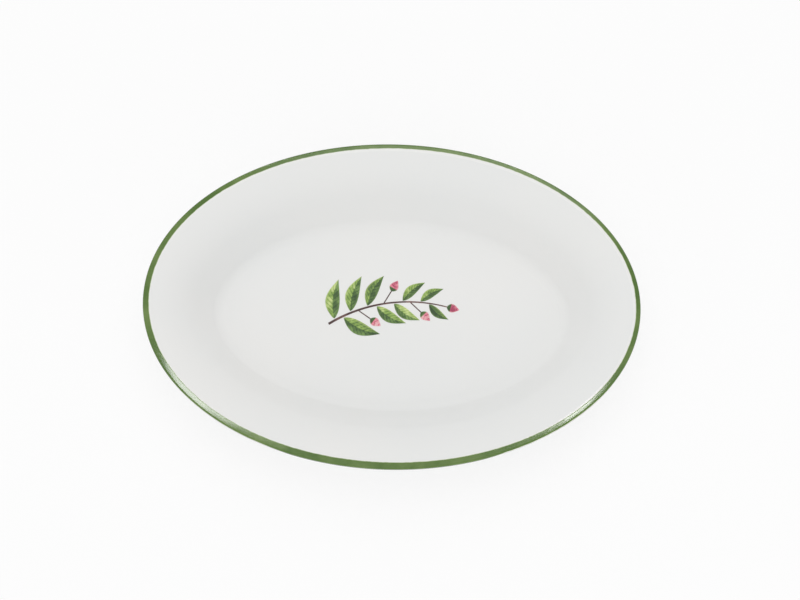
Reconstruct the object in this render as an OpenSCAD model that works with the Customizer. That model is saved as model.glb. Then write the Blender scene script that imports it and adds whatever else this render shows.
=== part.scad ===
// Oval plate for serving asparagus: a glazed porcelain plate with a wide sloping rim, a flat
// well, a foot ring, a painted line round the lip and a transfer of a budding sprig in the well.
// The origin is on the table at the middle of the plate, X runs along it and Z points up.

/* [Plate] */
// Length over the lip
plate_l = 320; // [300:1:340]
// Width over the lip
plate_w = 220; // [205:1:240]
// Height from the table to the top of the lip
plate_h = 32; // [29:0.5:35]
// Thickness of the rim and of the wall below it
wall_t = 4; // [3.5:0.1:4.6]
// Thickness of the floor
floor_t = 4; // [3.4:0.1:4.6]

/* [Rim and well] */
// Slope of the rim, in degrees
rim_slope = 9; // [6:0.5:12]
// From the edge of the plate to the shoulder, where the rim turns down into the well
shoulder_in = 22; // [20:0.5:25]
// From the edge of the plate to the bottom of the wall round the well
well_in = 47; // [44:0.5:49]
// Radius of the lip's upper edge
lip_r = 1; // [0.8:0.1:1.4]
// Radius of the lip's lower edge
lip_under_r = 1.7; // [1:0.1:2.4]
// Radius of the turn at the shoulder
shoulder_r = 48; // [26:1:54]
// Radius of the turn from the wall to the flat floor of the well
well_r = 12; // [7:1:15]

/* [Foot ring] */
// Height of the foot ring below the floor
foot_h = 4; // [3.5:0.1:5]
// From the edge of the plate to the outer side of the foot ring
foot_in = 44; // [42:0.5:46]
// Width of the foot ring
foot_w = 5; // [4:0.1:7]
// Radius of the foot ring's rounded edges
foot_r = 1.2; // [0.6:0.1:1.8]
// Radius of the turns from the foot ring to the floor and to the wall
foot_blend_r = 2.4; // [1.2:0.1:3]
// Height above the table at which the glaze stops, so that the foot stands dry
dry_h = 1.4; // [1.2:0.1:1.8]

/* [Glaze] */
// Thickness of the glaze
glaze_t = 0.4; // [0.2:0.05:0.6]

/* [Painted line] */
// How far the line reaches in from the edge of the plate, over the lip
line_in = 4; // [2.7:0.1:5]
// How far the line reaches down from the top of the lip, on the outside
line_drop = 1.6; // [1.2:0.1:2.2]
// Thickness of the colour, which is sunk into the glaze
line_t = 0.15; // [0.05:0.01:0.18]

/* [Sprig] */
// Place of the twig's middle, along the plate and across it
sprig_x = -4; // [-8:1:8]
sprig_y = 8; // [-8:1:12]
// Length of the twig along its curve
twig_l = 80; // [76:1:88]
// Radius of the twig's curve
twig_r = 95; // [80:1:130]
// Width of the twig at its cut end
twig_w = 1.6; // [1:0.1:2]
// Number of places along the twig, each with a leaf or a bud
places = 12; // [8:1:12]
// Length of the longest leaf
leaf_l = 27; // [16:0.5:29]
// Width of the longest leaf
leaf_w = 9.4; // [6:0.2:9.8]
// Length of a bud
bud_l = 8.4; // [6:0.2:8.8]
// Width of a bud
bud_w = 5.8; // [4:0.2:6]
// Length of the stalk that carries a bud
stalk_l = 10; // [9:0.5:12]
// Width of a bud's stalk
stalk_w = 0.7; // [0.5:0.1:1]
// Thickness of the printed colours
print_t = 0.1; // [0.05:0.01:0.2]

/* [Hidden] */

// The outline is an oval of arcs that meet where their shared normals follow right triangles
// with whole sides, so that the arcs' centres and ends are short decimal numbers.
triangles = [[1, 0, 1], [24, 7, 25], [4, 3, 5], [3, 4, 5], [7, 24, 25], [0, 1, 1]];
normals = [for (t = triangles) [t[0], t[1]] / t[2]];
arcs = len(triangles) - 1;
half_l = plate_l / 2;
half_w = plate_w / 2;
tenths = 10; // radii are rounded to whole tenths of a unit
sectors = [for (i = [0:arcs - 1]) i];

well_z = foot_h + floor_t;
core_lap = 3; // overlap of the swept rim and the slab inside it
reach = ceil(plate_l); // past the plate in every direction
turn_steps = 4; // straight steps in a rounded turn
lip_steps = 6; // straight steps round the lip under the painted line
round_steps = 16; // straight steps along one side of a leaf or a bud

// Unit vector along v, and the same turned a quarter to the left or by any angle
function unit(v) = v / norm(v);
function left(v) = [-v[1], v[0]];
function turned(v, g) = [v[0] * cos(g) - v[1] * sin(g), v[0] * sin(g) + v[1] * cos(g)];
function crossing(u, w) = u[0] * w[1] - u[1] * w[0];
function sum(v, i = 0) = i < len(v) ? v[i] + sum(v, i + 1) : 0;
function reversed(v) = [for (i = [len(v) - 1:-1:0]) v[i]];
function part_of(v, first, last) = [for (i = [first:last]) v[i]];

// Point of the true ellipse with the given outward normal
function ellipse_at(n) =
  [half_l * half_l * n[0], half_w * half_w * n[1]] / norm([half_l * n[0], half_w * n[1]]);

// Radii of the arcs: the middle ones follow the ellipse, the two ends close the quarter
function chord_radius(i) =
  let (turn = acos(normals[i] * normals[i + 1]))
  norm(ellipse_at(normals[i + 1]) - ellipse_at(normals[i])) / (2 * sin(turn / 2));
function stride(i) = [normals[i][0] - normals[i + 1][0], normals[i + 1][1] - normals[i][1]];
middle = [for (i = [1:arcs - 2]) round(chord_radius(i) * tenths) / tenths];
rest = [half_l - sum([for (i = [1:arcs - 2]) middle[i - 1] * stride(i)[0]]),
        half_w - sum([for (i = [1:arcs - 2]) middle[i - 1] * stride(i)[1]])];
first_stride = stride(0);
last_stride = stride(arcs - 1);
end_radius = crossing(rest, last_stride) / crossing(first_stride, last_stride);
side_radius = crossing(first_stride, rest) / crossing(first_stride, last_stride);
radii = concat(round(end_radius * tenths) / tenths, middle, round(side_radius * tenths) / tenths);
edge_l = sum([for (i = sectors) radii[i] * stride(i)[0]]);

function centre(i) =
  i == 0 ? [edge_l - radii[0], 0] : centre(i - 1) + (radii[i - 1] - radii[i]) * normals[i];

// Points of an arc round c, and of a rounded corner at b on the way from a to d
function arc(c, r, from, to, steps) =
  [for (i = [0:steps]) c + r * [cos(from + (to - from) * i / steps), sin(from + (to - from) * i / steps)]];
function corner(a, b, d, r) =
  let (u = unit(b - a), w = unit(d - b), side = sign(crossing(u, w)), turn = acos(u * w),
       start = b - r * tan(turn / 2) * u, c = start + side * r * left(u))
  [for (i = [0:turn_steps]) c + r * turned(-side * left(u), side * turn * i / turn_steps)];

// A path moved sideways by d, to the left if d is positive, with its steps kept parallel
function step_left(path, i) = left(unit(path[i + 1] - path[i]));
function side_at(path, i) =
  let (before = step_left(path, max(i - 1, 0)), after = step_left(path, min(i, len(path) - 2)))
  (before + after) / (1 + before * after);
function shifted(path, d) = [for (i = [0:len(path) - 1]) path[i] + d * side_at(path, i)];

// The section through the rim. Its x is zero at the edge of the plate and negative inside.
lip_c = [-lip_r, plate_h - lip_r];
down_slope = -[cos(rim_slope), sin(rim_slope)];
lip_top = lip_c + lip_r * [-sin(rim_slope), cos(rim_slope)];
shoulder = lip_top + down_slope * (shoulder_in + lip_top[0]) / cos(rim_slope);
well_corner = [-well_in, well_z];
wall_way = unit(well_corner - shoulder);
wall_turn = acos(wall_way * [-1, 0]);
sweep_in = max(well_in + well_r * tan(wall_turn / 2), foot_in + foot_w + foot_blend_r) + core_lap;
well_end = [-sweep_in, well_z];

// Underside: parallel to the top, a wall's thickness below it
under_shoulder = shoulder - wall_t * (left(-down_slope) + left(-wall_way)) / (1 + down_slope * wall_way);
under_edge = under_shoulder + down_slope * under_shoulder[0] / cos(rim_slope);
foot_top = under_shoulder + wall_way * (foot_in + under_shoulder[0]) / -wall_way[0];
foot_side = [-foot_in, dry_h];

line_start = lip_top + down_slope * (line_in + lip_top[0]) / cos(rim_slope);
line_end = [0, plate_h - line_drop];
top_angle = 90 + rim_slope; // direction of the lip's upper end from its centre

inner_path = concat([well_end], corner(well_end, well_corner, shoulder, well_r),
                    corner(well_corner, shoulder, lip_top, shoulder_r));
line_path = concat([line_start], arc(lip_c, lip_r, top_angle, 0, lip_steps), [line_end]);
under_path = concat(corner(line_end, under_edge, under_shoulder, lip_under_r),
                    corner(under_edge, under_shoulder, foot_top, shoulder_r + wall_t),
                    corner(under_shoulder, foot_top, foot_side, foot_blend_r), [foot_side]);
skin_path = concat(inner_path, line_path, under_path);
line_first = len(inner_path);
line_last = line_first + len(line_path) - 1;

// Inside of the foot ring, from the dry edge to the floor's underside
foot_inner_x = -foot_in - foot_w;
foot_corner = [foot_inner_x, foot_h];
floor_end = [-sweep_in, foot_h];
foot_well_path = concat([[foot_inner_x, dry_h]],
                        corner([foot_inner_x, dry_h], foot_corner, floor_end, foot_blend_r), [floor_end]);

body_skin = shifted(skin_path, -glaze_t);
body_foot_well = shifted(foot_well_path, -glaze_t);
foot_out_x = -foot_in - glaze_t;
foot_in_x = foot_inner_x + glaze_t;
dry_foot = concat(arc([foot_out_x - foot_r, foot_r], foot_r, 0, -90, turn_steps),
                  arc([foot_in_x + foot_r, foot_r], foot_r, -90, -180, turn_steps));

// One arc's share of a swept rim: the section turned about the arc's centre, cut to a wedge.
// What reaches past the centre is left out, as the sectors beside it fill that space.
module sector(i) {
  c = centre(i);
  intersection() {
    translate(c) rotate_extrude($fn = 180) intersection() {
      translate([radii[i], 0]) children();
      translate([0, -reach]) square(2 * reach);
    }
    translate([0, 0, -reach]) linear_extrude(2 * reach)
      polygon([c, c + reach * normals[i], c + reach * normals[i + 1]]);
  }
}

module quarters() {
  for (over_x = [0, 1], over_y = [0, 1]) mirror([over_x, 0, 0]) mirror([0, over_y, 0]) children();
}

// The section given as a child, swept all the way round the plate
module round_the_plate() {
  quarters() for (i = sectors) sector(i) children();
}

// The flat slab inside the swept rim, which it overlaps
module slab(z, t) {
  edge_in = sweep_in - core_lap;
  corners = [for (i = [0:arcs]) let (k = min(i, arcs - 1))
             centre(k) + max(radii[k] - edge_in, 0) * normals[i]];
  mirrored = [for (p = corners) [-p[0], p[1]]];
  half = concat(corners, reversed(mirrored));
  translate([0, 0, z]) linear_extrude(t) polygon(concat(half, reversed([for (p = half) [p[0], -p[1]]])));
}

module ceramic_body() {
  color("white") union() {
    round_the_plate() polygon(concat(body_skin, dry_foot, body_foot_well));
    slab(foot_h + glaze_t, floor_t - 2 * glaze_t);
  }
}

// One coat from the well over the lip and down the outside of the foot, with a step for the line
module plate_glaze() {
  outside = concat(part_of(skin_path, 0, line_first),
                   part_of(shifted(skin_path, -line_t), line_first, line_last),
                   part_of(skin_path, line_last, len(skin_path) - 1));
  color("ghostwhite") union() {
    round_the_plate() polygon(concat(outside, reversed(body_skin)));
    slab(well_z - glaze_t, glaze_t);
  }
}

module foot_well_glaze() {
  color("ghostwhite") union() {
    round_the_plate() polygon(concat(foot_well_path, reversed(body_foot_well)));
    slab(foot_h, glaze_t);
  }
}

module rim_line() {
  color("olivedrab") round_the_plate()
    polygon(concat(part_of(skin_path, line_first, line_last),
                   reversed(part_of(shifted(skin_path, -line_t), line_first, line_last))));
}

// The sprig: a twig curved about a point below it, with leaves and buds on both sides in turn
sprig_tilt = 10; // degrees
twig_turn = twig_l / twig_r * 180 / PI;
twig_tip_share = 0.45; // width at the tip, of the width at the cut end
low_angle = 54; // degrees between the twig and the lowest leaf
tip_angle = 32; // degrees between the twig and the last leaf
bud_lean = 8; // degrees by which a bud's stalk leans out further than a leaf
tip_leaf_share = 0.6; // size of the last leaf, of the longest
bow_share = 0.25; // sideways bow of a leaf's rib, of the leaf's width
leaf_power = 0.8; // under 1 moves a leaf's broadest place towards its stalk
bud_power = 0.75; // the same for a bud
leaf_gap_share = 0.3; // gap between a leaf and the twig's edge, of the twig's width
cup_share = 0.3; // length of the green cup round a bud's base, of the bud
first_share = 0.05; // place of the lowest leaf, of the twig's length
last_share = 0.84; // place of the last one
bud_places = [3, 6, 9]; // places that carry a bud

// Place, heading and width of the twig at a share of its length
function twig_heading(s) = sprig_tilt + twig_turn * (0.5 - s);
function twig_at(s) =
  [sprig_x, sprig_y] + twig_r * (turned([0, 1], twig_heading(s)) - turned([0, 1], sprig_tilt));
function twig_width(s) = twig_w * (1 - (1 - twig_tip_share) * s);

function place_share(i) = first_share + (last_share - first_share) * i / (places - 1);
function place_side(i) = i % 2 == 0 ? 1 : -1;
function place_angle(i) = place_side(i)
  * (low_angle + (tip_angle - low_angle) * i / (places - 1) + (carries_bud(i) ? bud_lean : 0));
function place_size(i) = 1 + (tip_leaf_share - 1) * i / (places - 1);
function carries_bud(i) = len([for (b = bud_places) if (b == i) b]) > 0;

// Puts its children at a place on the twig, heading away from it
module at_place(i, off) {
  s = place_share(i);
  heading = twig_heading(s) + place_angle(i);
  translate(twig_at(s) + off * turned([1, 0], heading)) rotate(heading) children();
}

// The buds' places: on their stalks, and at the tip of the twig
module at_buds() {
  for (i = bud_places) at_place(i, stalk_l) children();
  translate(twig_at(1)) rotate(twig_heading(1)) children();
}

// One side of a leaf that runs along X from the origin, broadest before its middle
module leaf_side(l, w, bow, side) {
  rib = [for (i = [0:round_steps]) let (s = i / round_steps) [l * s, bow * w * sin(180 * s)]];
  edge = [for (i = [1:round_steps - 1])
          rib[i] + [0, side * w / 2 * sin(180 * pow(i / round_steps, leaf_power))]];
  polygon(concat(rib, reversed(edge)));
}

module leaf_sides(side) {
  for (i = [0:places - 1]) if (!carries_bud(i))
    at_place(i, twig_width(place_share(i)) * (0.5 + leaf_gap_share) / sin(abs(place_angle(i))))
      leaf_side(leaf_l * place_size(i), leaf_w * place_size(i), bow_share * place_side(i), side);
}

// A stretch of a bud that runs along X from the origin, pointed at its far end
module bud_stretch(from, to) {
  edge = [for (i = [0:round_steps]) let (s = from + (to - from) * i / round_steps)
          [bud_l * s, bud_w / 2 * sin(180 * pow(s, bud_power))]];
  polygon(concat(edge, reversed([for (p = edge) if (p[1] > 0) [p[0], -p[1]]])));
}

// A printed colour: a flat film on the floor of the well
module printed() {
  translate([0, 0, well_z]) linear_extrude(print_t) children();
}

module leaf_lights() {
  color("yellowgreen") printed() leaf_sides(1);
}

// The lower side of each leaf, and the cup round the base of each bud
module leaf_shades() {
  color("darkolivegreen") printed() {
    leaf_sides(-1);
    at_buds() bud_stretch(0, cup_share);
  }
}

module buds() {
  color("palevioletred") printed() at_buds() bud_stretch(cup_share, 1);
}

module twig() {
  across = [for (i = [0:2 * round_steps]) let (s = i / round_steps / 2)
            twig_width(s) / 2 * turned([0, 1], twig_heading(s))];
  along = [for (i = [0:2 * round_steps]) twig_at(i / round_steps / 2)];
  color("saddlebrown") union() {
    printed() polygon(concat(along + across, reversed(along - across)));
    for (i = bud_places) printed() at_place(i, 0) translate([0, -stalk_w / 2]) square([stalk_l, stalk_w]);
  }
}

ceramic_body();
plate_glaze();
foot_well_glaze();
rim_line();
leaf_lights();
leaf_shades();
twig();
buds();
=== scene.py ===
import math

import bpy
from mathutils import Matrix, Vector


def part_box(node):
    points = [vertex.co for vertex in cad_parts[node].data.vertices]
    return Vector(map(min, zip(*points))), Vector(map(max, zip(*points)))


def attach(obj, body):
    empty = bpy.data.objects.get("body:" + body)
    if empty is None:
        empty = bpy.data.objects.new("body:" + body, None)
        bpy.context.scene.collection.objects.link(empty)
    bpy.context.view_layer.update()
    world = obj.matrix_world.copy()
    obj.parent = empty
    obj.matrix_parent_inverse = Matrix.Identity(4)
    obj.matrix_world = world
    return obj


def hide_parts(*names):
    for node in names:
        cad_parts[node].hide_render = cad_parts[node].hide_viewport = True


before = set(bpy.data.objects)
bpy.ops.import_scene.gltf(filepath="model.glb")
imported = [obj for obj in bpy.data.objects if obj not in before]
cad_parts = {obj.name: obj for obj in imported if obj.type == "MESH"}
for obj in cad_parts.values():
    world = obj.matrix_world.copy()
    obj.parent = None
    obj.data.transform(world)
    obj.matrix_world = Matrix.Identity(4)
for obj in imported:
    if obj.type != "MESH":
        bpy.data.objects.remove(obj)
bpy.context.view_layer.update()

# Sizes in metres, as the part has them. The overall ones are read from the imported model.
MM = 0.001
line_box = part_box("rim_line")
print_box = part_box("twig")
HALF_LENGTH = line_box[1].x
HALF_WIDTH = line_box[1].y
TOP_Z = line_box[1].z
WELL_Z = print_box[0].z
PRINT_T = print_box[1].z - print_box[0].z
STALK_PRINT_T = 0.95 * PRINT_T  # thinner than the twig's, so their tops don't meet in one plane
DRY_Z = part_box("plate_glaze")[0].z

WALL_T = 4 * MM
FOOT_H = 4 * MM
RIM_SLOPE = math.radians(9)
SHOULDER_IN = 22 * MM
WELL_IN = 47 * MM
LIP_R = 1 * MM
LIP_UNDER_R = 1.7 * MM
SHOULDER_R = 48 * MM
WELL_R = 12 * MM
FOOT_IN = 44 * MM
FOOT_W = 5 * MM
FOOT_R = 1.2 * MM
FOOT_BLEND_R = 2.4 * MM
GLAZE_T = 0.4 * MM
LINE_IN = 4 * MM
LINE_DROP = 1.6 * MM
LINE_T = 0.15 * MM
LINE_STRAY = 0.8 * MM  # the banded film reaches this much further, for where the colour strays

# The sprig in the well
SPRIG_AT = Vector((-4 * MM, 8 * MM))
TWIG_L = 80 * MM
TWIG_R = 95 * MM
TWIG_W = 1.6 * MM
TWIG_TIP_SHARE = 0.45
PLACES = 12
BUD_PLACES = (3, 6, 9)
LEAF_L = 27 * MM
LEAF_W = 9.4 * MM
BUD_L = 8.4 * MM
BUD_W = 5.8 * MM
STALK_L = 10 * MM
STALK_W = 0.7 * MM
SPRIG_TILT = math.radians(10)
LOW_ANGLE = math.radians(54)
TIP_ANGLE = math.radians(32)
BUD_LEAN = math.radians(8)
LEAF_POWER = 0.8
BUD_POWER = 0.75
TIP_LEAF_SHARE = 0.6
BOW_SHARE = 0.25
LEAF_GAP_SHARE = 0.3
CUP_SHARE = 0.3
FIRST_SHARE = 0.05
LAST_SHARE = 0.84
STALK_ROOT_SHARE = 1 / 3
TONE_STEP = 0.618  # gives neighbouring leaves unlike tones

# How finely the surfaces are drawn
AROUND = 320
TURN_STEPS = 12
LIP_STEPS = 22
FILM_STEPS = 24
FILM_COLUMNS = 5  # round a film's section, with the first one met again at the last
TWIG_STEPS = 60
MIDDLE_SHARES = (1.0, 0.7, 0.35, 0.0)  # a flat floor's rows, where 1 is the plate's middle
SHARP_ANGLE = math.radians(40)
SWEEP_MERGE = 0.002 * MM
FILM_MERGE = 0.0005 * MM
LEAST_TURN = 1e-5  # a straight film is bent by this, as its length is divided by its turn


# The section through the rim, as paths of (x, height). X is zero at the edge of the plate and
# negative inside it.

def arc(centre, radius, start, end, steps):
    angles = [start + (end - start) * i / steps for i in range(steps + 1)]
    return [centre + radius * Vector((math.cos(a), math.sin(a))) for a in angles]


def left_of(v):
    return Vector((-v.y, v.x))


def corner(before, at, after, radius, steps=TURN_STEPS):
    """A rounded turn at a point on the way from one point to another."""
    way_in = (at - before).normalized()
    way_out = (after - at).normalized()
    side = 1 if way_in.cross(way_out) > 0 else -1
    turn = way_in.angle(way_out)
    start = at - radius * math.tan(turn / 2) * way_in
    centre = start + side * radius * left_of(way_in)
    first = -side * left_of(way_in)
    heading = math.atan2(first.y, first.x)
    return arc(centre, radius, heading, heading + side * turn, steps)


def shifted(path, distance):
    """The path moved to its left, with its steps kept parallel."""
    sides = [left_of((b - a).normalized()) for a, b in zip(path, path[1:])]
    moved = []
    for i, point in enumerate(path):
        before, after = sides[max(i - 1, 0)], sides[min(i, len(sides) - 1)]
        moved.append(point + distance * (before + after) / (1 + before.dot(after)))
    return moved


def crossing_at(point, way, x):
    """Where a line through a point meets the given x."""
    return point + way * ((x - point.x) / way.x)


lip_c = Vector((-LIP_R, TOP_Z - LIP_R))
down_slope = -Vector((math.cos(RIM_SLOPE), math.sin(RIM_SLOPE)))
rim_up = Vector((-math.sin(RIM_SLOPE), math.cos(RIM_SLOPE)))
lip_top = lip_c + LIP_R * rim_up
shoulder = crossing_at(lip_top, down_slope, -SHOULDER_IN)
well_corner = Vector((-WELL_IN, WELL_Z))
wall_way = (well_corner - shoulder).normalized()
under_turn = left_of(-down_slope) + left_of(-wall_way)
under_shoulder = shoulder - WALL_T * under_turn / (1 + down_slope.dot(wall_way))
under_edge = crossing_at(under_shoulder, down_slope, 0)
foot_top = crossing_at(under_shoulder, wall_way, -FOOT_IN)
foot_side = Vector((-FOOT_IN, DRY_Z))
line_start = crossing_at(lip_top, down_slope, -LINE_IN - LINE_STRAY)
line_end = Vector((0, TOP_Z - LINE_DROP - LINE_STRAY))

inner_path = (corner(well_corner + Vector((-1, 0)), well_corner, shoulder, WELL_R)
              + corner(well_corner, shoulder, lip_top, SHOULDER_R))
line_path = [line_start] + arc(lip_c, LIP_R, math.pi / 2 + RIM_SLOPE, 0, LIP_STEPS) + [line_end]
under_path = (corner(line_end, under_edge, under_shoulder, LIP_UNDER_R)
              + corner(under_edge, under_shoulder, foot_top, SHOULDER_R + WALL_T)
              + corner(under_shoulder, foot_top, foot_side, FOOT_BLEND_R) + [foot_side])
skin_path = inner_path + line_path + under_path
line_first = len(inner_path)
line_last = line_first + len(line_path) - 1

foot_inner = Vector((-FOOT_IN - FOOT_W, DRY_Z))
foot_well_path = [foot_inner] + corner(foot_inner, Vector((foot_inner.x, FOOT_H)),
                                       Vector((-HALF_WIDTH, FOOT_H)), FOOT_BLEND_R)
body_skin = shifted(skin_path, -GLAZE_T)
body_foot_well = shifted(foot_well_path, -GLAZE_T)
dry_foot = (arc(Vector((-FOOT_IN - GLAZE_T - FOOT_R, FOOT_R)), FOOT_R, 0, -math.pi / 2, TURN_STEPS)
            + arc(Vector((foot_inner.x + GLAZE_T + FOOT_R, FOOT_R)), FOOT_R,
                  -math.pi / 2, -math.pi, TURN_STEPS))


# Helpers for node trees

def set_socket(tree, socket, value):
    if isinstance(value, bpy.types.NodeSocket):
        tree.links.new(value, socket)
    else:
        socket.default_value = value


def add(tree, kind, inputs=(), **settings):
    """A node with its settings made and its inputs, by name or number, set or linked."""
    node = tree.nodes.new(kind)
    for name, value in settings.items():
        setattr(node, name, value)
    for key, value in dict(inputs).items():
        if isinstance(key, str):
            socket = next(s for s in node.inputs if s.name == key and s.enabled)
        else:
            socket = node.inputs[key]
        set_socket(tree, socket, value)
    return node


def out(node, name=None):
    """A node's first output, or the one with the given name."""
    if name is None:
        return next(s for s in node.outputs if s.enabled)
    return next(s for s in node.outputs if s.name == name and s.enabled)


def calc(tree, operation, *values):
    return out(add(tree, "ShaderNodeMath", enumerate(values), operation=operation))


def vector(tree, x=0.0, y=0.0, z=0.0):
    return out(add(tree, "ShaderNodeCombineXYZ", {"X": x, "Y": y, "Z": z}))


def vector_calc(tree, operation, *values):
    return out(add(tree, "ShaderNodeVectorMath", enumerate(values), operation=operation))


def scaled(tree, v, factor):
    return out(add(tree, "ShaderNodeVectorMath", {0: v, "Scale": factor}, operation="SCALE"))


def parts(tree, v):
    node = add(tree, "ShaderNodeSeparateXYZ", {0: v})
    return out(node, "X"), out(node, "Y"), out(node, "Z")


def position(tree):
    return out(add(tree, "GeometryNodeInputPosition"))


def stored(tree, label, data_type="FLOAT"):
    """A value that the mesh keeps under a name."""
    node = add(tree, "GeometryNodeInputNamedAttribute", {"Name": label}, data_type=data_type)
    return out(node, "Attribute")


def object_shape(tree, source):
    return out(add(tree, "GeometryNodeObjectInfo", {"Object": source}), "Geometry")


def new_tree(name, sizes):
    """A geometry tree with named inputs, given as (name, type, value)."""
    tree = bpy.data.node_groups.new(name, "GeometryNodeTree")
    for label, kind, value in sizes:
        socket = tree.interface.new_socket(label, in_out="INPUT", socket_type=kind)
        if value is not None:
            socket.default_value = value
    tree.interface.new_socket("Geometry", in_out="OUTPUT", socket_type="NodeSocketGeometry")
    inputs = tree.nodes.new("NodeGroupInput")
    return tree, {s.name: s for s in inputs.outputs if s.name}


def finish_tree(tree, geometry, material):
    """Every tree ends by making its copies real and giving them their material."""
    real = add(tree, "GeometryNodeRealizeInstances", {"Geometry": geometry})
    painted = add(tree, "GeometryNodeSetMaterial", {"Geometry": out(real), "Material": material})
    result = tree.nodes.new("NodeGroupOutput")
    tree.links.new(out(painted), result.inputs["Geometry"])


def in_scene(name, data):
    thing = bpy.data.objects.new(name, data)
    bpy.context.scene.collection.objects.link(thing)
    return thing


def grown(name, tree, values):
    """A plain mesh object made by a tree with the given input values."""
    holder = in_scene(name + "_tree", bpy.data.meshes.new(name + "_tree"))
    modifier = holder.modifiers.new("tree", "NODES")
    modifier.node_group = tree
    names = {s.name: s.identifier for s in tree.interface.items_tree if s.in_out == "INPUT"}
    for label, value in values.items():
        modifier[names[label]] = value
    graph = bpy.context.evaluated_depsgraph_get()
    graph.update()
    mesh = bpy.data.meshes.new_from_object(holder.evaluated_get(graph), depsgraph=graph)
    bpy.data.objects.remove(holder)
    mesh.name = name
    return in_scene(name, mesh)


# The tree that carries a section round the plate

def oval_sweep_tree():
    """Sweeps a section round an ellipse at a steady distance from its edge.

    The section is a line of points. One row of the surface comes from each point, and a point
    whose middle value is 1 is drawn to the plate's middle, which closes the surface there.
    """
    tree, size = new_tree("Oval sweep", [
        ("Section", "NodeSocketObject", None),
        ("Half length", "NodeSocketFloat", HALF_LENGTH),
        ("Half width", "NodeSocketFloat", HALF_WIDTH),
        ("Around", "NodeSocketInt", AROUND),
        ("Sharp angle", "NodeSocketFloat", SHARP_ANGLE),
        ("Material", "NodeSocketMaterial", None),
    ])
    section = object_shape(tree, size["Section"])
    rows = out(add(tree, "GeometryNodeAttributeDomainSize", {"Geometry": section}), "Point Count")
    grid = add(tree, "GeometryNodeMeshGrid", {
        "Size X": 1.0, "Size Y": 1.0,
        "Vertices X": calc(tree, "ADD", size["Around"], 1.0), "Vertices Y": rows})
    # The grid is 1 wide and stands round its middle, so adding a half counts from its side.
    across, along, _ = parts(tree, position(tree))
    turn = calc(tree, "MULTIPLY", calc(tree, "ADD", across, 0.5), 2 * math.pi)
    last_row = calc(tree, "SUBTRACT", rows, 1.0)
    row = calc(tree, "ROUND", calc(tree, "MULTIPLY", calc(tree, "ADD", along, 0.5), last_row))

    def of_row(data_type, value):
        return out(add(tree, "GeometryNodeSampleIndex",
                       {"Geometry": section, "Value": value, "Index": row}, data_type=data_type))

    inward, _, height = parts(tree, of_row("FLOAT_VECTOR", position(tree)))
    middle = of_row("FLOAT", stored(tree, "middle"))
    length = of_row("FLOAT", stored(tree, "length"))
    c, s = calc(tree, "COSINE", turn), calc(tree, "SINE", turn)
    edge = vector(tree, calc(tree, "MULTIPLY", size["Half length"], c),
                  calc(tree, "MULTIPLY", size["Half width"], s))
    normal = vector_calc(tree, "NORMALIZE",
                         vector(tree, calc(tree, "MULTIPLY", size["Half width"], c),
                                calc(tree, "MULTIPLY", size["Half length"], s)))
    flat = vector_calc(tree, "ADD", edge, scaled(tree, normal, inward))
    drawn = scaled(tree, flat, calc(tree, "SUBTRACT", 1.0, middle))
    place = vector_calc(tree, "ADD", drawn, vector(tree, z=height))

    kept = add(tree, "GeometryNodeStoreNamedAttribute",
               {"Geometry": out(grid, "Mesh"), "Name": "sweep", "Value": vector(tree, turn, length)},
               data_type="FLOAT_VECTOR", domain="CORNER")
    moved = add(tree, "GeometryNodeSetPosition", {"Geometry": out(kept), "Position": place})
    merged = add(tree, "GeometryNodeMergeByDistance",
                 {"Geometry": out(moved), "Distance": SWEEP_MERGE})
    smooth = add(tree, "GeometryNodeSetShadeSmooth",
                 {"Geometry": out(merged), "Shade Smooth": True}, domain="FACE")
    angle = out(add(tree, "GeometryNodeInputMeshEdgeAngle"), "Unsigned Angle")
    creased = add(tree, "GeometryNodeSetShadeSmooth", {
        "Geometry": out(smooth), "Shade Smooth": False,
        "Selection": calc(tree, "GREATER_THAN", angle, size["Sharp angle"])}, domain="EDGE")
    finish_tree(tree, out(creased), size["Material"])
    return tree


def section_object(name, points):
    """A section as a line of points, given as (point, how far it is drawn to the middle)."""
    mesh = bpy.data.meshes.new(name)
    places = [Vector((p.x, 0, p.y)) for p, _ in points]
    mesh.from_pydata(places, [(i, i + 1) for i in range(len(points) - 1)], [])
    lengths = [0.0]
    for a, b in zip(places, places[1:]):
        lengths.append(lengths[-1] + (b - a).length)
    for label, values in (("middle", [m for _, m in points]), ("length", lengths)):
        layer = mesh.attributes.new(label, "FLOAT", "POINT")
        layer.data.foreach_set("value", values)
    return bpy.data.objects.new(name, mesh)


def to_middle(point):
    """Rows that carry a flat floor between the plate's middle and a point."""
    return [(point, share) for share in MIDDLE_SHARES]


def open_section(path):
    return [(p, 0.0) for p in path]


def ring_section(path):
    return open_section(path + path[:1])


def coat_sections():
    """The section of each ceramic layer, with its outer face on the left of its path."""
    sunk_line = shifted(skin_path, -LINE_T)[line_first:line_last + 1]
    glaze_skin = skin_path[:line_first + 1] + sunk_line + skin_path[line_last:]
    glaze_floor = Vector((skin_path[0].x, WELL_Z - GLAZE_T))
    foot_floor = foot_well_path[-1]
    body_foot_floor = body_foot_well[-1]
    return {
        "ceramic_body": to_middle(body_skin[0])
        + open_section(body_skin + dry_foot + body_foot_well)
        + to_middle(body_foot_floor)[::-1],
        "plate_glaze": to_middle(skin_path[0]) + open_section(glaze_skin + body_skin[::-1])
        + to_middle(glaze_floor)[::-1],
        "foot_well_glaze": to_middle(body_foot_floor)
        + open_section(body_foot_well[::-1] + foot_well_path) + to_middle(foot_floor)[::-1],
        "rim_line": ring_section(skin_path[line_first:line_last + 1] + sunk_line[::-1]),
    }


# The tree that lays the print's thin films on the floor of the well

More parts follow.
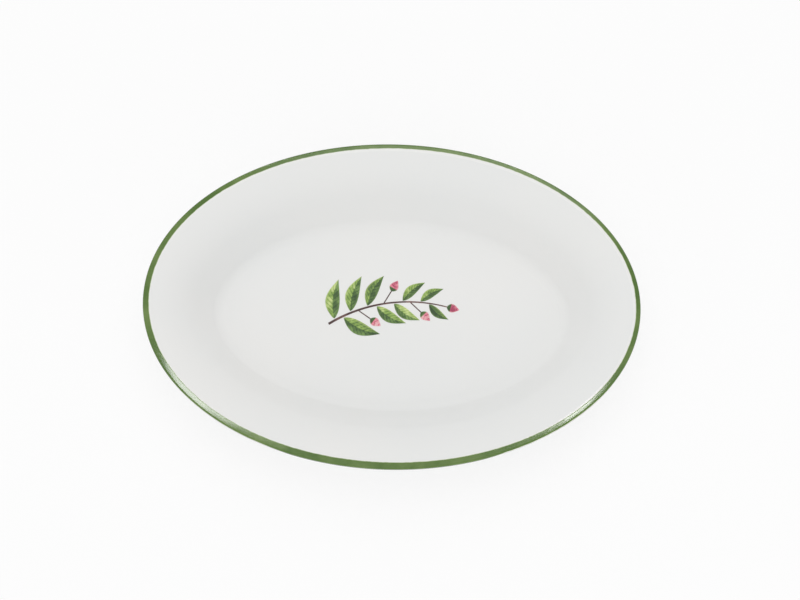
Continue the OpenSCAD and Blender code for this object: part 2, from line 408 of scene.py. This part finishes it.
def film_tree():
    """Lays one film at each point of the places object, headed as that point says.

    A film's half width is a petal's, or a tapering strip's where Strip is 1. Its sides run from
    Low side to High side, where 1 is the full half width to the left.
    """
    tree, size = new_tree("Printed films", [
        ("Places", "NodeSocketObject", None),
        ("Length", "NodeSocketFloat", LEAF_L),
        ("Width", "NodeSocketFloat", LEAF_W),
        ("Thickness", "NodeSocketFloat", PRINT_T),
        ("Bow share", "NodeSocketFloat", 0.0),
        ("Power", "NodeSocketFloat", 1.0),
        ("From share", "NodeSocketFloat", 0.0),
        ("To share", "NodeSocketFloat", 1.0),
        ("Low side", "NodeSocketFloat", -1.0),
        ("High side", "NodeSocketFloat", 1.0),
        ("Strip", "NodeSocketFloat", 0.0),
        ("Tip share", "NodeSocketFloat", 1.0),
        ("Turn", "NodeSocketFloat", 0.0),
        ("Steps", "NodeSocketInt", FILM_STEPS),
        ("Material", "NodeSocketMaterial", None),
    ])

    def work(operation, *values):
        return calc(tree, operation, *values)

    def kept(geometry, name, value, data_type="FLOAT"):
        return out(add(tree, "GeometryNodeStoreNamedAttribute",
                       {"Geometry": geometry, "Name": name, "Value": value},
                       data_type=data_type, domain="POINT"))

    def one_of_two(value, low):
        """1 where a whole value is the given one or the next."""
        return work("COMPARE", value, low + 0.5, 0.6)

    rows = work("ADD", size["Steps"], 3.0)
    grid = out(add(tree, "GeometryNodeMeshGrid", {
        "Size X": 1.0, "Size Y": 1.0, "Vertices X": FILM_COLUMNS, "Vertices Y": rows}), "Mesh")
    across, along, _ = parts(tree, position(tree))
    last_row = work("SUBTRACT", rows, 1.0)
    column = work("ROUND", work("MULTIPLY", work("ADD", across, 0.5), FILM_COLUMNS - 1.0))
    row = work("ROUND", work("MULTIPLY", work("ADD", along, 0.5), last_row))
    # The columns run round the film: low side below and above, high side above and below, and
    # back. The first and the last row are drawn together into the middle of its two ends.
    is_high = one_of_two(column, 2)
    is_top = one_of_two(column, 1)
    half_rows = work("MULTIPLY", last_row, 0.5)
    off_middle = work("ABSOLUTE", work("SUBTRACT", row, half_rows))
    is_cap = work("GREATER_THAN", off_middle, work("SUBTRACT", half_rows, 0.5))
    step = work("DIVIDE", work("SUBTRACT", row, 1.0), size["Steps"])
    step = work("MINIMUM", work("MAXIMUM", step, 0.0), 1.0)
    reach = work("SUBTRACT", size["To share"], size["From share"])
    share = work("ADD", size["From share"], work("MULTIPLY", reach, step))
    breadth = work("SUBTRACT", size["High side"], size["Low side"])
    place_across = work("ADD", work("MULTIPLY", is_high, work("SUBTRACT", 1.0, is_cap)),
                        work("MULTIPLY", is_cap, 0.5))
    side = work("ADD", size["Low side"], work("MULTIPLY", breadth, place_across))
    lift = work("ADD", work("MULTIPLY", is_top, work("SUBTRACT", 1.0, is_cap)),
                work("MULTIPLY", is_cap, 0.5))
    for label, value in (("along", share), ("across", side), ("lift", lift)):
        grid = kept(grid, label, value)

    places = kept(object_shape(tree, size["Places"]), "place", position(tree), "FLOAT_VECTOR")
    copies = add(tree, "GeometryNodeInstanceOnPoints", {"Points": places, "Instance": grid})
    films = out(add(tree, "GeometryNodeRealizeInstances", {"Geometry": out(copies)}))

    share, side, lift = (stored(tree, label) for label in ("along", "across", "lift"))
    scale, heading = stored(tree, "size"), stored(tree, "heading")
    length = work("MULTIPLY", size["Length"], scale)
    width = work("MULTIPLY", size["Width"], scale)
    petal = work("SINE", work("MULTIPLY", work("POWER", share, size["Power"]), math.pi))
    taper = work("MULTIPLY", work("SUBTRACT", size["Tip share"], 1.0), share)
    strip = work("ADD", taper, 1.0)
    swell = work("ADD", work("MULTIPLY", petal, work("SUBTRACT", 1.0, size["Strip"])),
                 work("MULTIPLY", strip, size["Strip"]))
    half = work("MULTIPLY", work("MULTIPLY", width, 0.5), swell)
    arch = work("SINE", work("MULTIPLY", share, math.pi))
    bow = work("MULTIPLY", work("MULTIPLY", width, size["Bow share"]),
               work("MULTIPLY", arch, stored(tree, "bow_side")))
    out_by = work("ADD", bow, work("MULTIPLY", half, side))
    turned_by = work("MULTIPLY", size["Turn"], share)
    bend = work("MAXIMUM", size["Turn"], LEAST_TURN)
    radius = work("DIVIDE", length, bend)
    x = work("ADD", work("MULTIPLY", radius, work("SINE", work("MULTIPLY", bend, share))),
             work("MULTIPLY", out_by, work("SINE", turned_by)))
    drop = work("SUBTRACT", 1.0, work("COSINE", work("MULTIPLY", bend, share)))
    y = work("SUBTRACT", work("MULTIPLY", out_by, work("COSINE", turned_by)),
             work("MULTIPLY", radius, drop))
    z = work("MULTIPLY", size["Thickness"], lift)
    local = vector(tree, x, y, z)
    spun = out(add(tree, "ShaderNodeVectorRotate", {"Vector": local, "Angle": heading},
                   rotation_type="Z_AXIS"))
    place = vector_calc(tree, "ADD", spun, stored(tree, "place", "FLOAT_VECTOR"))
    laid = out(add(tree, "GeometryNodeSetPosition", {"Geometry": films, "Position": place}))
    merged = out(add(tree, "GeometryNodeMergeByDistance",
                     {"Geometry": laid, "Distance": FILM_MERGE}))
    finish_tree(tree, merged, size["Material"])
    return tree


def places_object(name, places):
    """Points with what each film needs: (x, y, heading, size, side that it bows to)."""
    mesh = bpy.data.meshes.new(name)
    mesh.from_pydata([(x, y, WELL_Z) for x, y, *_ in places], [], [])
    for label, column in (("heading", 2), ("size", 3), ("bow_side", 4)):
        layer = mesh.attributes.new(label, "FLOAT", "POINT")
        layer.data.foreach_set("value", [place[column] for place in places])
    tone = mesh.attributes.new("tone", "FLOAT", "POINT")
    tone.data.foreach_set("value", [(i * TONE_STEP) % 1.0 for i in range(len(places))])
    return bpy.data.objects.new(name, mesh)


# Where the sprig's leaves and buds sit, as in the solids

TWIG_TURN = TWIG_L / TWIG_R


def direction(heading):
    return Vector((math.cos(heading), math.sin(heading)))


def twig_heading(share):
    return SPRIG_TILT + TWIG_TURN * (0.5 - share)


def twig_at(share):
    return SPRIG_AT + TWIG_R * (left_of(direction(twig_heading(share)))
                                - left_of(direction(SPRIG_TILT)))


def twig_width(share):
    return TWIG_W * (1 - (1 - TWIG_TIP_SHARE) * share)


def place_share(i):
    return FIRST_SHARE + (LAST_SHARE - FIRST_SHARE) * i / (PLACES - 1)


def place_side(i):
    return 1 if i % 2 == 0 else -1


def place_angle(i):
    lean = LOW_ANGLE + (TIP_ANGLE - LOW_ANGLE) * i / (PLACES - 1)
    return place_side(i) * (lean + (BUD_LEAN if i in BUD_PLACES else 0))


def at_place(i, off, size=1.0):
    heading = twig_heading(place_share(i)) + place_angle(i)
    spot = twig_at(place_share(i)) + off * direction(heading)
    return (spot.x, spot.y, heading, size, place_side(i))


def leaf_places():
    found = []
    for i in range(PLACES):
        if i not in BUD_PLACES:
            gap = twig_width(place_share(i)) * (0.5 + LEAF_GAP_SHARE)
            size = 1 + (TIP_LEAF_SHARE - 1) * i / (PLACES - 1)
            found.append(at_place(i, gap / math.sin(abs(place_angle(i))), size))
    return found


def bud_places():
    tip = twig_at(1)
    return [at_place(i, STALK_L) for i in BUD_PLACES] + [(tip.x, tip.y, twig_heading(1), 1.0, 1)]


def stalk_places():
    return [at_place(i, STALK_ROOT_SHARE * twig_width(place_share(i))) for i in BUD_PLACES]


# Materials

def cleared_tree(owner):
    """The empty node tree of a material or of the world."""
    owner.use_nodes = True
    owner.node_tree.nodes.clear()
    return owner.node_tree


def new_material(name):
    material = bpy.data.materials.new(name)
    tree = cleared_tree(material)
    shader = add(tree, "ShaderNodeBsdfPrincipled")
    add(tree, "ShaderNodeOutputMaterial", {"Surface": shader.outputs["BSDF"]})
    return material, tree, shader


def object_place(tree):
    return out(add(tree, "ShaderNodeTexCoord"), "Object")


def noise(tree, scale, detail=2.0, roughness=0.5, place=None):
    node = add(tree, "ShaderNodeTexNoise", {
        "Vector": place or object_place(tree), "Scale": scale, "Detail": detail,
        "Roughness": roughness})
    return out(node, "Fac")


def ramp(tree, fac, stops):
    """A colour ramp with the given (place, colour) stops."""
    node = add(tree, "ShaderNodeValToRGB", {"Fac": fac})
    while len(node.color_ramp.elements) < len(stops):
        node.color_ramp.elements.new(1.0)
    for element, (place, colour) in zip(node.color_ramp.elements, stops):
        element.position = place
        element.color = (*colour, 1.0)
    return out(node, "Color")


def mixed(tree, fac, a, b):
    node = add(tree, "ShaderNodeMix", data_type="RGBA")
    sockets = [s for s in node.inputs if s.enabled]
    for socket, value in zip(sockets, (fac, a, b)):
        if isinstance(value, tuple):
            value = (*value, 1.0)
        set_socket(tree, socket, value)
    return out(node)


def ranged(tree, value, low, high, to_low=0.0, to_high=1.0):
    return out(add(tree, "ShaderNodeMapRange", {
        "Value": value, "From Min": low, "From Max": high, "To Min": to_low, "To Max": to_high}))


def bumped(tree, shader, height, distance):
    node = add(tree, "ShaderNodeBump", {"Height": height, "Distance": distance})
    tree.links.new(out(node), shader.inputs["Normal"])


def glossy(shader, roughness):
    shader.inputs["Roughness"].default_value = roughness
    shader.inputs["IOR"].default_value = GLAZE_IOR


GLAZE_IOR = 1.5
GLAZE_WHITE = (0.817, 0.815, 0.8)
GLAZE_COOL = (0.797, 0.804, 0.794)


def glaze_material():
    """White porcelain under clear glaze, faintly cooler where the glaze runs thick."""
    material, tree, shader = new_material("clear_glaze_on_white")
    drift = ranged(tree, noise(tree, scale=9.0, detail=3.0), low=0.35, high=0.65)
    tree.links.new(mixed(tree, drift, GLAZE_WHITE, GLAZE_COOL), shader.inputs["Base Color"])
    glossy(shader, roughness=0.07)
    bumped(tree, shader, noise(tree, scale=55.0, detail=1.0), distance=0.12 * MM)
    return material


BARE_CLEAN = (0.74, 0.72, 0.68)
BARE_SCUFFED = (0.6, 0.58, 0.55)


def bare_porcelain_material():
    """The dry foot: matt, finely grained and a little scuffed."""
    material, tree, shader = new_material("bare_fired_porcelain")
    scuffs = ranged(tree, noise(tree, scale=420.0, detail=4.0, roughness=0.6), low=0.52, high=0.7)
    tree.links.new(mixed(tree, scuffs, BARE_CLEAN, BARE_SCUFFED), shader.inputs["Base Color"])
    glossy(shader, roughness=0.72)
    bumped(tree, shader, noise(tree, scale=2600.0, detail=3.0), distance=0.03 * MM)
    return material


# The painted line. Angles run round the plate from its right end, and lengths along the film's
# section from its inner edge.
LINE_DENSE = (0.062, 0.135, 0.012)
LINE_THIN = (0.135, 0.215, 0.05)
LINE_FRINGE = (0.5, 0.58, 0.36)
LINE_BROAD_AT = math.radians(240)
LINE_DRIFT = 0.83 * MM  # how much broader it is there, and narrower on the far side
LINE_PINCH = 0.15 * MM  # how much narrower it is at the plate's ends, and broader at its sides
LINE_START = LINE_STRAY + 0.55 * MM
LINE_LENGTH = sum((b - a).length for a, b in zip(line_path, line_path[1:]))
LINE_SHORT = 2 * MM  # the most that the colour ends short of the film's lower edge
LINE_FULL_AT = math.radians(270)  # where, and at each quarter turn from there, it seldom does
LINE_FULL_PULL = 0.25
LINE_WOBBLE = 0.1 * MM
LINE_SWELL = 0.4
LINE_GLOSS = 0.5
LINE_MARGIN_GLOSS = 0.07


def line_material():
    """The line as a hand bands it: it drifts, runs dense and thin, and ends in a pale fringe."""
    material, tree, shader = new_material("green_banding_colour")
    place = object_place(tree)
    sweep_place = out(add(tree, "ShaderNodeAttribute", attribute_name="sweep"), "Vector")
    turn, across, _ = parts(tree, sweep_place)
    thinness = noise(tree, scale=38.0, detail=4.0, roughness=0.6, place=place)
    body_colour = mixed(tree, ranged(tree, thinness, low=0.36, high=0.66), LINE_DENSE, LINE_THIN)

    drift = calc(tree, "COSINE", calc(tree, "SUBTRACT", turn, LINE_BROAD_AT))
    start = calc(tree, "SUBTRACT", LINE_START, calc(tree, "MULTIPLY", drift, LINE_DRIFT))
    ends = calc(tree, "COSINE", calc(tree, "MULTIPLY", turn, 2.0))
    start = calc(tree, "ADD", start, calc(tree, "MULTIPLY", ends, LINE_PINCH))
    wobble = ranged(tree, noise(tree, scale=260.0, place=place), low=0.3, high=0.7,
                    to_low=-LINE_WOBBLE, to_high=LINE_WOBBLE)
    inner_edge = calc(tree, "ADD", calc(tree, "SUBTRACT", across, start), wobble)
    inner_edge = ranged(tree, inner_edge, low=-0.35 * MM, high=0.25 * MM)

    from_full = calc(tree, "MULTIPLY", calc(tree, "SUBTRACT", turn, LINE_FULL_AT), 4.0)
    pull = calc(tree, "MULTIPLY", calc(tree, "COSINE", from_full), LINE_FULL_PULL)
    stray = calc(tree, "SUBTRACT", noise(tree, scale=16.0, detail=1.0, place=place), pull)
    reach = ranged(tree, stray, low=0.5, high=0.75,
                   to_low=LINE_LENGTH, to_high=LINE_LENGTH - LINE_SHORT)
    lower_edge = calc(tree, "ADD", calc(tree, "SUBTRACT", reach, across), wobble)
    lower_edge = ranged(tree, lower_edge, low=-0.3 * MM, high=0.2 * MM)

    # Zero off the colour, one well inside it
    edge = calc(tree, "MINIMUM", inner_edge, lower_edge)
    tint = ramp(tree, edge, [(0.0, GLAZE_WHITE), (0.4, LINE_FRINGE), (1.0, LINE_THIN)])
    colour = mixed(tree, ranged(tree, edge, low=0.6, high=1.0), tint, body_colour)
    tree.links.new(colour, shader.inputs["Base Color"])
    glossy(shader, roughness=0.09)
    gloss = ranged(tree, edge, low=0.0, high=0.6, to_low=LINE_MARGIN_GLOSS, to_high=LINE_GLOSS)
    tree.links.new(gloss, shader.inputs["Specular IOR Level"])
    swell = noise(tree, scale=110.0, detail=1.0, place=place)
    height = calc(tree, "ADD", edge, calc(tree, "MULTIPLY", swell, LINE_SWELL))
    bumped(tree, shader, height, distance=0.03 * MM)
    return material


# Greens, brown and pink of the transfer, as they lie on the white under the glaze
LEAF_PALE = (0.56, 0.66, 0.26)
LEAF_MID = (0.27, 0.42, 0.085)
LEAF_DEEP = (0.075, 0.15, 0.035)
SHADE_PALE = (0.2, 0.33, 0.09)
SHADE_MID = (0.075, 0.15, 0.035)
SHADE_DEEP = (0.028, 0.066, 0.02)
TWIG_PALE = (0.23, 0.12, 0.1)
TWIG_DEEP = (0.065, 0.032, 0.03)
BUD_PALE = (0.83, 0.52, 0.52)
BUD_MID = (0.72, 0.2, 0.27)
BUD_DEEP = (0.38, 0.05, 0.11)


# How the washes, veins and edges of the print are loaded with colour
LEAF_VEINS = 9
BARK_STREAKS = 14
PETAL_VEINS = 3
VEIN_SLANT = 0.16
VEIN_LOAD = 0.45
TONE_LOAD = 0.35
GRAIN_LOAD = 0.5
TIP_LOAD = -0.25
EDGE_GRAIN = 0.25
EDGE_PALENESS = 0.75


def surface_value(tree, name):
    return out(add(tree, "ShaderNodeAttribute", attribute_name=name), "Fac")


def print_material(name, pale, middle, deep, vein_count):
    """A transfer colour: brushed washes along the form, veins, and a paler, uneven edge."""
    material, tree, shader = new_material(name)
    place = object_place(tree)
    along, across, tone = (surface_value(tree, label) for label in ("along", "across", "tone"))
    out_from_rib = calc(tree, "ABSOLUTE", across)
    wash = noise(tree, scale=130.0, detail=3.0, roughness=0.6, place=place)
    grain = noise(tree, scale=900.0, detail=3.0, roughness=0.6, place=place)
    grain = calc(tree, "SUBTRACT", grain, 0.5)
    slant = calc(tree, "SUBTRACT", along, calc(tree, "MULTIPLY", out_from_rib, VEIN_SLANT))
    strokes = calc(tree, "SINE", calc(tree, "MULTIPLY", slant, 2 * math.pi * vein_count))
    load = ranged(tree, wash, low=0.3, high=0.7)
    for value, share in ((tone, TONE_LOAD), (grain, GRAIN_LOAD), (along, TIP_LOAD),
                         (ranged(tree, strokes, low=0.55, high=1.0), VEIN_LOAD)):
        load = calc(tree, "ADD", load, calc(tree, "MULTIPLY", value, share))
    colour = ramp(tree, load, [(0.05, pale), (0.5, middle), (1.0, deep)])
    uneven = calc(tree, "ADD", out_from_rib, calc(tree, "MULTIPLY", grain, EDGE_GRAIN))
    edge = ranged(tree, uneven, low=0.7, high=1.08, to_high=EDGE_PALENESS)
    tree.links.new(mixed(tree, edge, colour, pale), shader.inputs["Base Color"])
    glossy(shader, roughness=0.08)
    return material


# Floor, backdrop, lights and camera

SHADOW_LIFT = 0.8
FLOOR_SIZE = 12.0
FLOOR_GREY = (0.9, 0.9, 0.9, 1.0)
BLANK_WHITE = (1.0, 1.0, 1.0, 1.0)


def seen_directly(tree):
    """1 for rays that look, are mirrored or pass through, and 0 for the light they gather."""
    rays = add(tree, "ShaderNodeLightPath")
    seen = calc(tree, "MAXIMUM", out(rays, "Is Camera Ray"), out(rays, "Is Glossy Ray"))
    return calc(tree, "MAXIMUM", seen, out(rays, "Is Transmission Ray"))


def white_stage_material():
    """White that the camera sees as a blank ground, with the plate's shadow left on it."""
    material = bpy.data.materials.new("white_ground")
    tree = cleared_tree(material)
    diffuse = add(tree, "ShaderNodeBsdfDiffuse", {"Color": FLOOR_GREY})
    blank = add(tree, "ShaderNodeEmission", {"Color": BLANK_WHITE, "Strength": 1.0})
    share = calc(tree, "MULTIPLY", seen_directly(tree), SHADOW_LIFT)
    mix = add(tree, "ShaderNodeMixShader", {"Fac": share, 1: out(diffuse), 2: out(blank)})
    add(tree, "ShaderNodeOutputMaterial", {"Surface": out(mix)})
    return material


def add_floor():
    mesh = bpy.data.meshes.new("floor")
    h = FLOOR_SIZE / 2
    mesh.from_pydata([(-h, -h, 0), (h, -h, 0), (h, h, 0), (-h, h, 0)], [], [(0, 1, 2, 3)])
    mesh.materials.append(white_stage_material())
    in_scene("floor", mesh)


def bearing(azimuth, elevation, distance):
    """A place in degrees round the plate from its front and above the table, and in metres."""
    a, e = math.radians(azimuth), math.radians(elevation)
    return Vector((math.sin(a) * math.cos(e), -math.cos(a) * math.cos(e), math.sin(e))) * distance


def looking_back(name, data, away, at=Vector()):
    """An object that stands away from a point and looks back at it."""
    thing = in_scene(name, data)
    thing.location = at + away
    thing.rotation_euler = away.to_track_quat("Z", "Y").to_euler()
    return thing


def add_softbox(name, azimuth, elevation, distance, width, height, power):
    data = bpy.data.lights.new(name, "AREA")
    data.shape = "RECTANGLE"
    data.size = width
    data.size_y = height
    data.energy = power
    return looking_back(name, data, bearing(azimuth, elevation, distance))


def add_low_softbox(name, azimuth, power):
    """A low softbox whose mirror image in the glaze is dimmer than the light it gives."""
    lamp = add_softbox(name, azimuth, **LOW_BOX, power=power)
    lamp.visible_glossy = False
    image = add_softbox(name + "_image", azimuth, **LOW_BOX, power=power * LOW_BOX_MIRRORED_SHARE)
    image.visible_diffuse = False


def add_glint(name, piece, **softbox):
    """A softbox that is only mirrored, and only in one piece."""
    lamp = add_softbox(name, distance=GLINT_DISTANCE, **softbox)
    lamp.visible_diffuse = False
    lamp.visible_camera = False
    lit = bpy.data.collections.new(name + "_on")
    lit.objects.link(piece)
    lamp.light_linking.receiver_collection = lit


def add_world(level, glows):
    """A white studio: blank where it is seen or mirrored, and with soft light from its glows.

    Each glow is a broad, brighter part of the dome: (bearing, elevation, narrowness, strength).
    """
    world = bpy.data.worlds.new("studio")
    tree = cleared_tree(world)
    way = out(add(tree, "ShaderNodeTexCoord"), "Generated")
    light = level
    for azimuth, elevation, narrowness, strength in glows:
        facing = vector_calc(tree, "DOT_PRODUCT", way, bearing(azimuth, elevation, 1.0))
        facing = calc(tree, "POWER", calc(tree, "MAXIMUM", facing, 0.0), narrowness)
        light = calc(tree, "ADD", light, calc(tree, "MULTIPLY", facing, strength))
    mix = add(tree, "ShaderNodeMix", {"Factor": seen_directly(tree), "A": light, "B": 1.0},
              data_type="FLOAT")
    dome = add(tree, "ShaderNodeBackground", {"Color": BLANK_WHITE, "Strength": out(mix)})
    add(tree, "ShaderNodeOutputWorld", {"Surface": out(dome)})
    bpy.context.scene.world = world


def add_camera():
    data = bpy.data.cameras.new("camera")
    data.sensor_width = CAMERA_SENSOR
    data.lens = CAMERA_LENS
    data.clip_end = CAMERA_CLIP_END
    back = bearing(CAMERA_AZIMUTH, CAMERA_ELEVATION, CAMERA_DISTANCE)
    bpy.context.scene.camera = looking_back("camera", data, back, AIM)


CAMERA_AZIMUTH = 1.41
CAMERA_ELEVATION = 71.4
CAMERA_DISTANCE = 2.0
CAMERA_LENS = 138.85
CAMERA_SENSOR = 36
CAMERA_CLIP_END = 50
AIM = Vector((5.18 * MM, 8.24 * MM, 15 * MM))

STUDIO_LEVEL = 0.35
# Back, front left, low front and overhead
STUDIO_GLOWS = [(180, 50, 4.0, 1.03), (-45, 50, 4.0, 0.27), (0, 15, 6.0, 0.73), (0, 90, 4.0, 0.61)]
LOW_BOX = {"elevation": 16, "distance": 1.5, "width": 0.7, "height": 0.5}
LOW_BOX_MIRRORED_SHARE = 0.35
GLINT_DISTANCE = 3.0

add_camera()
add_floor()
add_world(STUDIO_LEVEL, STUDIO_GLOWS)
add_low_softbox("low_left_softbox", azimuth=-56, power=1.7)
add_low_softbox("low_right_softbox", azimuth=58, power=2.0)


# Pieces

def replace_node(piece, node):
    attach(piece, "root")
    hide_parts(node)


glaze = glaze_material()
coats = {
    "ceramic_body": ("fired_body", "bare_porcelain", bare_porcelain_material()),
    "plate_glaze": ("glaze_coat", "clear_glaze", glaze),
    "foot_well_glaze": ("foot_well_coat", "clear_glaze", glaze),
    "rim_line": ("banded_line", "green_line", line_material()),
}
sweep = oval_sweep_tree()
for node_name, section in coat_sections().items():
    piece_name, slot_name, material = coats[node_name]
    line = section_object(piece_name + "_section", section)
    piece = grown(piece_name, sweep, {
        "Section": line, "Half length": HALF_LENGTH, "Half width": HALF_WIDTH, "Around": AROUND,
        "Sharp angle": SHARP_ANGLE, "Material": material})
    replace_node(piece, node_name)

painted_line = bpy.data.objects["banded_line"]
add_glint("left_glint", painted_line,
          azimuth=170.4, elevation=61.2, width=0.24, height=0.25, power=3.0)
add_glint("right_glint", painted_line,
          azimuth=191.4, elevation=60.6, width=0.16, height=0.14, power=2.1)
add_glint("top_glint", painted_line,
          azimuth=209.5, elevation=83.4, width=0.5, height=0.45, power=1.15)

films = film_tree()
leaves = places_object("leaf_places", leaf_places())
bud_spots = places_object("bud_places", bud_places())
stalks = places_object("stalk_places", stalk_places())
twig_start = places_object("twig_start", [(*twig_at(0), twig_heading(0), 1.0, 1)])

pale_leaf = print_material("leaf_light_side_print", LEAF_PALE, LEAF_MID, LEAF_DEEP, LEAF_VEINS)
dark_leaf = print_material("leaf_shaded_side_print", SHADE_PALE, SHADE_MID, SHADE_DEEP, LEAF_VEINS)
bark = print_material("twig_print", TWIG_PALE, TWIG_DEEP, TWIG_DEEP, BARK_STREAKS)
petal = print_material("bud_print", BUD_PALE, BUD_MID, BUD_DEEP, PETAL_VEINS)

LEAF = {"Length": LEAF_L, "Width": LEAF_W, "Bow share": BOW_SHARE, "Power": LEAF_POWER}
BUD = {"Length": BUD_L, "Width": BUD_W, "Power": BUD_POWER}


def printed(name, sets):
    """One printed colour: its films, each set grown by the tree, joined into one piece."""
    grown_sets = [grown(f"{name}_{i}", films, {"Thickness": PRINT_T, **values})
                  for i, values in enumerate(sets)]
    piece = grown_sets[0]
    if len(grown_sets) > 1:
        with bpy.context.temp_override(active_object=piece, selected_editable_objects=grown_sets,
                                       object=piece, selected_objects=grown_sets):
            bpy.ops.object.join()
    piece.name = name
    return piece


light_halves = printed("light_leaf_halves", [
    {"Places": leaves, **LEAF, "Low side": 0.0, "High side": 1.0, "Material": pale_leaf}])
replace_node(light_halves, "leaf_lights")
dark_halves = printed("shaded_leaf_halves_and_cups", [
    {"Places": leaves, **LEAF, "Low side": -1.0, "High side": 0.0, "Material": dark_leaf},
    {"Places": bud_spots, **BUD, "To share": CUP_SHARE, "Material": dark_leaf}])
replace_node(dark_halves, "leaf_shades")
petals = printed("bud_petals", [
    {"Places": bud_spots, **BUD, "From share": CUP_SHARE, "Material": petal}])
replace_node(petals, "buds")
wood = printed("twig_and_stalks", [
    {"Places": twig_start, "Length": TWIG_L, "Width": TWIG_W, "Strip": 1.0,
     "Tip share": TWIG_TIP_SHARE, "Turn": TWIG_TURN, "Steps": TWIG_STEPS, "Material": bark},
    {"Places": stalks, "Length": STALK_L, "Width": STALK_W, "Strip": 1.0,
     "Thickness": STALK_PRINT_T, "Material": bark}])
replace_node(wood, "twig")

bpy.context.scene.view_settings.view_transform = "Standard"
